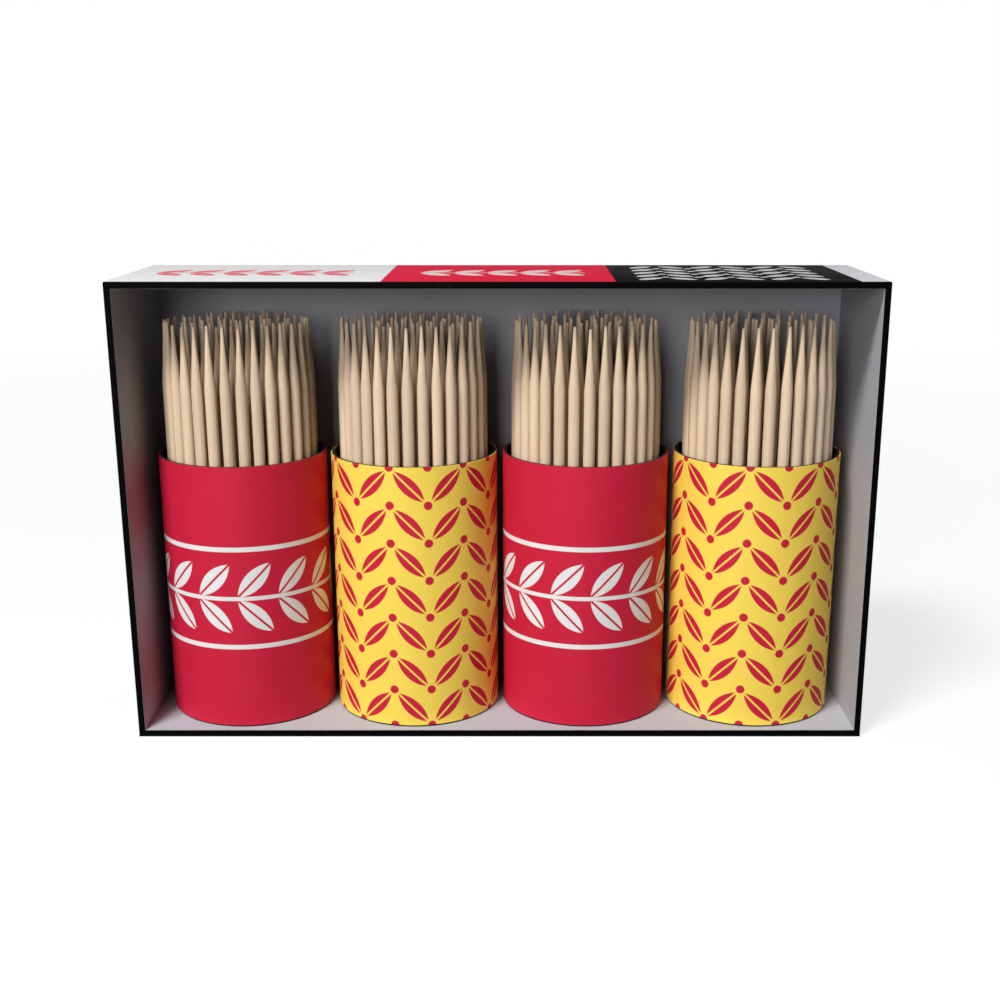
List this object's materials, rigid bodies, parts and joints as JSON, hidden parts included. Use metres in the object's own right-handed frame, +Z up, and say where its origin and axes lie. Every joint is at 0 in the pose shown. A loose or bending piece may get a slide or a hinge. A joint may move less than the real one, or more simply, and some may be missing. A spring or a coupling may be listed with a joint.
{
  "type": "cocktail pick holder set",
  "caption": "Open-front display box holding a row of round paperboard pots, each full of upright double-pointed wooden picks that are drawn out from the top.",
  "frame": {"origin": "middle of the underside of the box", "axes": "+X along the row of pots, +Y from the open front to the back, +Z up"},
  "size_m": [0.1212, 0.031, 0.0754],
  "materials": {
    "greyboard": "uncoated grey pulp board",
    "printed_wrap": "satin printed paper, black edges, white, red and black panels",
    "white_liner": "matt white paper",
    "red_label": "satin printed paper, red",
    "yellow_label": "satin printed paper, yellow with small red ornaments",
    "pick_wood": "plain turned birch, unfinished"
  },
  "bodies": {
    "box": {"back_board": "greyboard", "top_board": "greyboard", "floor_board": "greyboard", "left_side_board": "greyboard", "right_side_board": "greyboard", "outer_wrap": "printed_wrap", "base_sheet": "printed_wrap", "inner_liner": "white_liner"},
    "pot_1": {"pot_1_tube": "greyboard", "pot_1_label": "red_label", "pot_1_base_plug": "greyboard"},
    "pot_1_pick_bundle": {"pot_1_picks": "pick_wood"},
    "pot_1_loose_pick": {"pot_1_front_pick": "pick_wood"},
    "pot_2": {"pot_2_tube": "greyboard", "pot_2_label": "yellow_label", "pot_2_base_plug": "greyboard"},
    "pot_2_pick_bundle": {"pot_2_picks": "pick_wood"},
    "pot_2_loose_pick": {"pot_2_front_pick": "pick_wood"},
    "pot_3": {"pot_3_tube": "greyboard", "pot_3_label": "red_label", "pot_3_base_plug": "greyboard"},
    "pot_3_pick_bundle": {"pot_3_picks": "pick_wood"},
    "pot_3_loose_pick": {"pot_3_front_pick": "pick_wood"},
    "pot_4": {"pot_4_tube": "greyboard", "pot_4_label": "yellow_label", "pot_4_base_plug": "greyboard"},
    "pot_4_pick_bundle": {"pot_4_picks": "pick_wood"},
    "pot_4_loose_pick": {"pot_4_front_pick": "pick_wood"}
  },
  "joints": [
    {"name": "pot_1_slide_out", "type": "slide", "parent": "box", "child": "pot_1", "axis": [0, -1, 0], "range_m": [0, 0.036]},
    {"name": "pot_1_picks_lift", "type": "slide", "parent": "pot_1", "child": "pot_1_pick_bundle", "axis": [0, 0, 1], "range_m": [0, 0.005]},
    {"name": "pot_1_front_pick_lift", "type": "slide", "parent": "pot_1", "child": "pot_1_loose_pick", "axis": [0, 0, 1], "range_m": [0, 0.005]},
    {"name": "pot_2_slide_out", "type": "slide", "parent": "box", "child": "pot_2", "axis": [0, -1, 0], "range_m": [0, 0.036]},
    {"name": "pot_2_picks_lift", "type": "slide", "parent": "pot_2", "child": "pot_2_pick_bundle", "axis": [0, 0, 1], "range_m": [0, 0.005]},
    {"name": "pot_2_front_pick_lift", "type": "slide", "parent": "pot_2", "child": "pot_2_loose_pick", "axis": [0, 0, 1], "range_m": [0, 0.005]},
    {"name": "pot_3_slide_out", "type": "slide", "parent": "box", "child": "pot_3", "axis": [0, -1, 0], "range_m": [0, 0.036]},
    {"name": "pot_3_picks_lift", "type": "slide", "parent": "pot_3", "child": "pot_3_pick_bundle", "axis": [0, 0, 1], "range_m": [0, 0.005]},
    {"name": "pot_3_front_pick_lift", "type": "slide", "parent": "pot_3", "child": "pot_3_loose_pick", "axis": [0, 0, 1], "range_m": [0, 0.005]},
    {"name": "pot_4_slide_out", "type": "slide", "parent": "box", "child": "pot_4", "axis": [0, -1, 0], "range_m": [0, 0.036]},
    {"name": "pot_4_picks_lift", "type": "slide", "parent": "pot_4", "child": "pot_4_pick_bundle", "axis": [0, 0, 1], "range_m": [0, 0.005]},
    {"name": "pot_4_front_pick_lift", "type": "slide", "parent": "pot_4", "child": "pot_4_loose_pick", "axis": [0, 0, 1], "range_m": [0, 0.005]}
  ]
}
